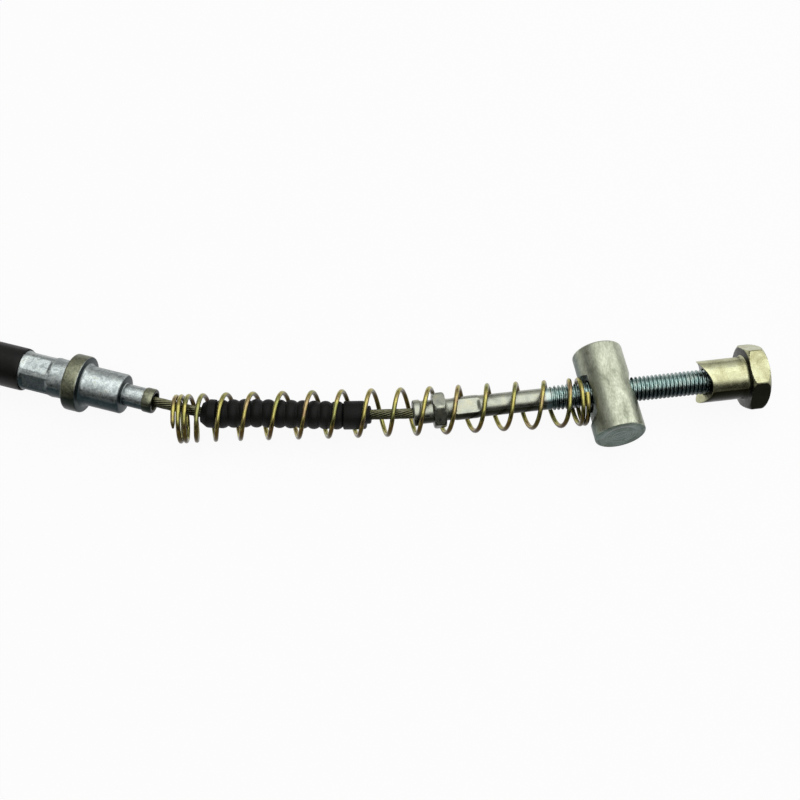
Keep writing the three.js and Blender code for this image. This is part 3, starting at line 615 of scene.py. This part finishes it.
def spring_mesh():
    coil_r, wire_r, closed_pitch, turns, per_turn = 5.4, 0.55, 1.2, 18.125, 48
    t = np.arange(int(turns * per_turn) + 1) / per_turn
    mid = (t[1:] + t[:-1]) / 2
    openness = np.interp(mid, *np.array(SPRING_OPEN).T)
    opened = np.concatenate([[0], np.cumsum(openness) / per_turn])
    pitch = (SPRING_LINE.length - closed_pitch * t[-1]) / opened[-1]
    s = closed_pitch * t + pitch * opened
    c, _, side, lift = SPRING_LINE.frame(s)
    turn = math.radians(SPRING_START) - 2 * math.pi * t
    out = side * np.cos(turn)[:, None] + lift * np.sin(turn)[:, None]
    # The wire's first end is cut to a blunt point.
    thick = wire_r * (0.45 + 0.55 * np.clip(t / 0.035, 0, 1))
    points, faces = swept(c + out * coil_r, out, thick, 12)
    return metres(points), faces


spring = mesh_piece("gold_spring", *spring_mesh(), sharp=60)
spring.data.materials.append(SPRING)
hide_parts("return_spring")

# The rod: its swaged socket, hexagon, pressed flats and shank, and then its thread
ROD_SIDES = 144


def rod_rows():
    """Rows of the rod up to its thread. The angle is 0 at the middle of one of the hexagon's flats."""
    phi = angles(ROD_SIDES)
    nearest = np.round(phi / (math.pi / 3)) * (math.pi / 3)
    hexagon = np.minimum(4.0 / np.cos(phi - nearest), 4.55)
    rows = [(3.2, 1.35), (0.25, 1.35), (0.05, 1.5), (0, 1.7), (0, 2.7), (0.08, 2.95), (0.3, 3.12),
            (0.5, 3.15), (1.5, 3.15), (1.72, 3.1), (1.86, 2.95), (1.95, 2.83), (2.1, 2.8), (4.55, 2.8),
            (4.72, 2.85), (4.8, 3.0), (4.8, np.minimum(hexagon, 3.85)), (4.86, np.minimum(hexagon, 4.05)),
            (5.1, np.minimum(hexagon, 4.3)), (5.5, hexagon), (7.2, hexagon), (7.5, np.minimum(hexagon, 4.35)),
            (7.74, np.minimum(hexagon, 4.1)), (7.8, np.minimum(hexagon, 3.9)), (7.8, 3.0), (7.88, 2.75),
            (8.1, 2.62)]
    facing = np.abs(np.cos(phi - math.radians(30)))
    flat = 2.1 / np.maximum(facing, 0.3)
    for x in np.concatenate([np.linspace(8.6, 9.6, 4), np.linspace(9.7, 10.7, 9), np.linspace(11, 15, 7),
                             np.linspace(15.2, 16.4, 9), np.linspace(17, 32, 9)]):
        press = eased(x, 9.7, 10.6) * (1 - eased(x, 15.2, 16.4))
        round_r = 2.6 + 0.05 * eased(x, 9.0, 10.4)
        bulge = round_r + 0.16 * press * (1 - facing ** 2)
        rows.append((x, bulge * (1 - press) + np.minimum(bulge, flat) * press))
    return rows


def thread_rows():
    """The thread as rows with a helix in them: crests a millimetre apart, right-handed."""
    phi = angles(ROD_SIDES)
    major, minor, blank, end = 3.0, 2.42, 2.66, 83.6
    rows = [(32.0, 2.65), (32.4, blank)]
    for x in np.arange(32.5, end, 0.075):
        t = (x + phi / (2 * math.pi)) % 1.0
        height = np.clip((0.375 - np.abs(t - 0.5)) / 0.29, 0, 1)
        grown = eased(x, 32.6, 34.8)
        outer = blank + (major - blank) * grown
        outer = min(outer, major - max(0.0, x - (end - 0.9)) * 0.9)
        inner = blank + (minor - blank) * grown
        rows.append((x, inner + (outer - inner) * height if outer > inner else np.full(ROD_SIDES, outer)))
    rows += [(end, 2.0), (end, 0.6)]
    return rows


ROD_TURN = -13
rod = mesh_piece(
    "swaged_rod", *turned(rod_rows(), ROD_SIDES, lambda p: on_rod(p, ROD_FROM, ROD_TURN)), sharp=32)
finish(rod, "inner_wire", ROD, "rod_zinc", "threaded_rod")
thread = mesh_piece(
    "rod_thread", *turned(thread_rows(), ROD_SIDES, lambda p: on_rod(p, ROD_FROM), wrap=False), sharp=50)
finish(thread, "inner_wire", THREAD, "rod_zinc")


# The barrel pin
PIN_LEAN, PIN_HALF, PIN_R = 3, 11.55, 6.15
PIN_AT = np.array([50.3, -0.25, ROD_Z - 0.35])
HOLE_R, SEAT_R, SEAT_TOP, SEAT_ASIDE = 4, 6.3, -4.85, -1.1


def cut(piece, cutter):
    """Takes the cutter out of the piece, and deletes it."""
    modifier = piece.modifiers.new("cut", "BOOLEAN")
    modifier.operation = "DIFFERENCE"
    modifier.solver = "EXACT"
    modifier.object = cutter
    dg = bpy.context.evaluated_depsgraph_get()
    me = bpy.data.meshes.new_from_object(piece.evaluated_get(dg))
    piece.modifiers.clear()
    piece.data = me
    bpy.data.objects.remove(cutter)
    return piece


def on_barrel(p):
    """Places a piece that is turned about X on the barrel pin's centre, with X across the pin."""
    p = np.asarray(p, float)
    t = math.radians(PIN_LEAN)
    x, y = p[:, 0] * math.cos(t) - p[:, 1] * math.sin(t), p[:, 0] * math.sin(t) + p[:, 1] * math.cos(t)
    return metres(np.stack([x, y, p[:, 2]], 1) + PIN_AT)


def along_barrel(p):
    """The same, with X along the pin."""
    return on_barrel(np.stack([-p[:, 1], p[:, 0], p[:, 2]], 1))


# The turning marks on the pin's ends: shallow rings, [radius, depth].
RINGS = ((0.7, 0.05), (1.3, 0.06), (1.9, 0.04), (2.6, 0.06), (3.3, 0.05), (4.0, 0.05), (5.35, 0.1))


def pin_end():
    """Half of the pin's profile, from its middle to the middle of its end, as (distance, radius)."""
    rows = [(0, PIN_R), (6, PIN_R), (PIN_HALF - 0.45, PIN_R), (PIN_HALF - 0.3, 6.12), (PIN_HALF - 0.14, 6.02),
            (PIN_HALF - 0.03, 5.86), (PIN_HALF, 5.7)]
    for r, depth in reversed(RINGS):
        floor_x = PIN_HALF - depth
        rows += [(PIN_HALF, r + 0.16), (floor_x, r + 0.06), (floor_x, r - 0.06), (PIN_HALF, r - 0.16)]
    return rows + [(PIN_HALF, 0.3)]


PIN = [(-x, r) for x, r in reversed(pin_end())] + pin_end()[1:]
pin = mesh_piece("barrel", *turned(PIN, 192, along_barrel, wrap=False), sharp=35)
HOLE = [(-9, 0.5), (-9, HOLE_R), (9, HOLE_R), (9, 0.5)]
cut(pin, mesh_piece("hole", *turned(HOLE, 96, on_barrel, wrap=False)))
SEAT = [(-9, 0.5), (-9, SEAT_R), (SEAT_TOP, SEAT_R), (SEAT_TOP, 0.5)]
aside = np.array([0, SEAT_ASIDE, 0])
cut(pin, mesh_piece("seat", *turned(SEAT, 128, lambda p: on_barrel(p + aside), wrap=False)))
pin.data.shade_smooth()
pin.data.set_sharp_from_angle(angle=math.radians(30))
finish(pin, "barrel", BARREL, "barrel_zinc", "barrel_pin")

# The adjuster nut
NUT_SIDES = 288
NUT_TURN, SADDLE_TURN, SADDLE_R = 10, 47, 6.25
NUT_FLAT_R, NUT_CORNER_R, NUT_SLEEVE_R, NUT_BORE_R = 7.25, 8.28, 5.1, 3.15


def nut_rows():
    phi = angles(NUT_SIDES)
    nearest = np.round(phi / (math.pi / 3)) * (math.pi / 3)
    hexagon = np.minimum(NUT_FLAT_R / np.cos(phi - nearest), NUT_CORNER_R)
    # The piece is turned by NUT_TURN when it is placed, so the hollow is turned back by as much.
    tilt = math.radians(SADDLE_TURN - NUT_TURN)

    def saddle(r):
        y, z = -r * np.sin(phi), r * np.cos(phi)
        across = y * math.cos(tilt) + z * math.sin(tilt)
        return 68.3 + np.sqrt(SADDLE_R ** 2 - across ** 2)

    head, end = 83.4, 88.1
    rows = [(saddle(NUT_BORE_R) + 1.0, NUT_BORE_R)]
    rows += [(saddle(r), r) for r in (3.3, 3.8, 4.4, 4.8)]
    rows += [(saddle(4.95) + 0.03, 4.98), (saddle(5.05) + 0.12, 5.06)]
    start = saddle(NUT_SLEEVE_R)
    rows.append((start + 0.3, NUT_SLEEVE_R))
    rows += [(start + (head - 0.9 - start) * t, NUT_SLEEVE_R) for t in (0.15, 0.4, 0.7, 1.0)]
    rows += [(head - 0.5, 5.14), (head - 0.2, 5.3), (head - 0.05, 5.5), (head, 5.75)]
    for depth, r in ((0.0, 7.25), (0.06, 7.45), (0.2, 7.7), (0.38, 7.95), (0.56, 8.15), (0.72, 8.3)):
        rows.append((head + depth, np.minimum(hexagon, r)))
    for depth, r in ((1.7, 8.3), (1.1, 8.14), (0.75, 7.9), (0.45, 7.6), (0.22, 7.3), (0.08, 7.05),
                     (0.0, 6.8)):
        rows.append((end - depth, np.minimum(hexagon, r)))
    rows += [(end, 5), (end, 3.8), (end - 0.1, 3.6), (end - 0.75, NUT_BORE_R)]
    return rows


nut = mesh_piece("adjuster", *turned(nut_rows(), NUT_SIDES, lambda p: on_rod(p, 0, NUT_TURN)), sharp=24)
finish(nut, "nut", NUT, "nut_zinc", "adjuster_nut")

# The far end: cap, rope and nipple
cap_low, cap_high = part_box("end_cap")
nip_low, nip_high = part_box("wire_nipple")
far_axis = np.array([0, (cap_low.y + cap_high.y) * 500 - SHIFT[1], (cap_low.z + cap_high.z) * 500])
cap_x = cap_low.x * 1000 - SHIFT[0]
nip_x = (nip_low.x + nip_high.x) * 500 - SHIFT[0]


def on_far(x):
    return lambda p: metres(np.asarray(p, float) + far_axis + np.array([x, 0, 0]))


CAP = [(11.2, 4.1), (0.3, 4.1), (0.05, 4.2), (0, 4.35), (0, 4.5), (0.1, 4.65), (0.4, 4.75), (12.2, 4.75),
       (12.7, 4.7), (12.93, 4.5), (13, 4.2), (13, 3.3), (13.1, 3.2), (15.5, 3.2), (15.85, 3.12), (16, 2.9),
       (16, 1.6), (11.2, 1.6)]
cap = mesh_piece("far_cap", *turned(CAP, 96, on_far(cap_x)), sharp=38)
finish(cap, "casing", BRIGHT, "far_end_zinc", "end_cap")
far_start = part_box("far_wire")[0].x * 1000 - SHIFT[0]
far_line = Line([far_axis + np.array([x, 0, 0]) for x in np.linspace(far_start, nip_x + 1.2, 40)])
far_rope = mesh_piece("far_rope", *rope(far_line, 0, far_line.length), sharp=60)
finish(far_rope, "far_wire", ROPE, "wire_rope", "far_wire")
NIPPLE = [(-5.5, 0.3), (-5.5, 3.5), (-5.42, 3.75), (-5.2, 3.92), (-4.9, 4), (0, 4), (4.9, 4), (5.2, 3.92),
          (5.42, 3.75), (5.5, 3.5), (5.5, 0.3)]
nipple = mesh_piece("far_nipple", *turned(
    NIPPLE, 96, lambda p: on_far(nip_x)(np.stack([-p[:, 1], p[:, 0], p[:, 2]], 1)), wrap=False), sharp=35)
cut(nipple, mesh_piece("nipple_hole", *turned(
    [(-5, 0.3), (-5, 1.45), (1.3, 1.45), (1.3, 0.3)], 48, on_far(nip_x), wrap=False)))
nipple.data.shade_smooth()
nipple.data.set_sharp_from_angle(angle=math.radians(30))
finish(nipple, "far_wire", BRIGHT, "far_end_zinc", "wire_nipple")


# The ties: a strap round the bundle, with its lock on the inside of the coil
def tie_mesh(turn):
    half, r, thick = 2 * CASING_R + 0.12, CASING_R + 0.12, 0.9
    outline = []
    for corner, (sx, sy) in enumerate(((1, 1), (-1, 1), (-1, -1), (1, -1))):
        for t in np.linspace(0, math.pi / 2, 9):
            c, s = math.cos(t + corner * math.pi / 2), math.sin(t + corner * math.pi / 2)
            outline.append((sx * (half - r) + r * c, sy * (half - r) + r * s, c, s))
    o = np.array(outline)
    rows = []
    for depth, width in ((0, 1.6), (0, 1.75), (0.12, 1.8), (thick - 0.2, 1.8), (thick - 0.05, 1.7),
                         (thick, 1.5), (thick, -1.5), (thick - 0.05, -1.7), (thick - 0.2, -1.8), (0.12, -1.8),
                         (0, -1.75), (0, -1.6)):
        rows.append(np.stack(
            [o[:, 0] + o[:, 2] * depth, np.full(len(o), width), o[:, 1] + o[:, 3] * depth], 1))
    strap = (np.concatenate(rows), grid_faces(len(rows), len(o), True))
    lock = []
    for y, inset in ((-2.6, 0.5), (-2.35, 0.1), (-2.0, 0), (2.0, 0), (2.35, 0.1), (2.6, 0.5)):
        c, s = np.cos(angles(24)), np.sin(angles(24))
        across, up = np.sign(c) * np.abs(c) ** 0.35, np.sign(s) * np.abs(s) ** 0.35
        lock.append(np.stack([-half - 1.9 + across * (1.7 - inset), np.full(24, y), up * (2.3 - inset)], 1))
    block = (np.concatenate(lock), grid_faces(6, 24) + [tuple(range(24)), tuple(range(120, 144))])
    points, faces = joined([strap, block])
    t = math.radians(turn)
    x, y = points[:, 0] + MID_R, points[:, 1]
    turned_x, turned_y = x * math.cos(t) - y * math.sin(t), x * math.sin(t) + y * math.cos(t)
    world = np.stack([turned_x + middle[0], turned_y + middle[1], points[:, 2] + BUNDLE_Z], 1)
    return metres(world), faces


for name, turn in (("coil_tie_1", 160), ("coil_tie_2", 340)):
    strap = mesh_piece(f"{name}_strap", *tie_mesh(turn), sharp=35)
    finish(strap, "casing", TIE, "tie_plastic", name)

# The layers of the casing that stay as they are
for name, material in (("casing_jacket", JACKET), ("casing_armour", BRIGHT), ("casing_liner", LINER)):
    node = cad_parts[name]
    node.data.materials.clear()
    node.data.materials.append(material)

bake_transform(spring)

# Floor, world and lights
FLOOR_Z, FLOOR_HALF, GLOW_SHARE = -0.0002, 3, 0.93
corners = [(x * FLOOR_HALF, y * FLOOR_HALF, FLOOR_Z) for x, y in ((-1, -1), (1, -1), (1, 1), (-1, 1))]
floor = mesh_piece("floor", corners, [(0, 1, 2, 3)])
fm = bpy.data.materials.new("floor")
fm.use_nodes = True
ft = fm.node_tree
ft.nodes["Principled BSDF"].inputs["Base Color"].default_value = (0.92, 0.92, 0.92, 1)
ft.nodes["Principled BSDF"].inputs["Roughness"].default_value = 0.9
ft.nodes["Principled BSDF"].inputs["Specular IOR Level"].default_value = 0.1


def seen(tree):
    """1 for the rays that see the background: the camera's, reflected and transmitted ones."""
    rays = tree.nodes.new("ShaderNodeLightPath").outputs
    seen_now = calculated(tree, "MAXIMUM", rays["Is Camera Ray"], rays["Is Glossy Ray"])
    return calculated(tree, "MAXIMUM", seen_now, rays["Is Transmission Ray"])


glow = ft.nodes.new("ShaderNodeEmission")
glow.inputs["Strength"].default_value = 1
both = ft.nodes.new("ShaderNodeMixShader")
ft.links.new(calculated(ft, "MULTIPLY", seen(ft), GLOW_SHARE), both.inputs[0])
ft.links.new(ft.nodes["Principled BSDF"].outputs[0], both.inputs[1])
ft.links.new(glow.outputs[0], both.inputs[2])
ft.links.new(both.outputs[0], ft.nodes["Material Output"].inputs["Surface"])
floor.data.materials.append(fm)

world = bpy.data.worlds.new("world")
bpy.context.scene.world = world
world.use_nodes = True
wt = world.node_tree
plain = wt.nodes["Background"]
plain.inputs["Color"].default_value = (1, 1, 1, 1)
plain.inputs["Strength"].default_value = 0.3
# The camera sees an even pale background. What shines shows a room that is darker at the front, to the left
# and along the horizon.
shown = wt.nodes.new("ShaderNodeBackground")
way = wt.nodes.new("ShaderNodeSeparateXYZ")
wt.links.new(wt.nodes.new("ShaderNodeTexCoord").outputs["Generated"], way.inputs[0])
room = 1.0
for axis, start, end, dark in ((1, -0.88, -0.45, 0.03), (0, -0.6, -0.1, 0.4), (2, 0.0, 0.55, 0.22)):
    wall = wt.nodes.new("ShaderNodeMapRange")
    wall.interpolation_type = "SMOOTHSTEP"
    for k, v in zip(("From Min", "From Max", "To Min", "To Max"), (start, end, dark, 1.0)):
        wall.inputs[k].default_value = v
    wt.links.new(way.outputs[axis], wall.inputs["Value"])
    room = calculated(wt, "MULTIPLY", room, wall.outputs[0])
camera_ray = wt.nodes.new("ShaderNodeLightPath").outputs["Is Camera Ray"]
wt.links.new(calculated(wt, "MAXIMUM", camera_ray, room), shown.inputs["Strength"])
chosen = wt.nodes.new("ShaderNodeMixShader")
wt.links.new(seen(wt), chosen.inputs[0])
wt.links.new(plain.outputs[0], chosen.inputs[1])
wt.links.new(shown.outputs[0], chosen.inputs[2])
wt.links.new(chosen.outputs[0], wt.nodes["World Output"].inputs["Surface"])


def lamp(name, place, target, size, power):
    light = bpy.data.lights.new(name, "AREA")
    light.shape = "RECTANGLE"
    light.size, light.size_y = size
    light.energy = power
    o = bpy.data.objects.new(name, light)
    bpy.context.scene.collection.objects.link(o)
    o.location = place
    o.rotation_mode = "QUATERNION"
    o.rotation_quaternion = (Vector(target) - Vector(place)).to_track_quat("-Z", "Y")


lamp("above", (0.05, 0.0, 0.95), (0, 0, 0), (1.6, 1.0), 5)
lamp("right", (0.75, 0.3, 0.5), (0, 0, 0), (0.5, 0.6), 1.2)

bpy.context.scene.view_settings.view_transform = "Standard"
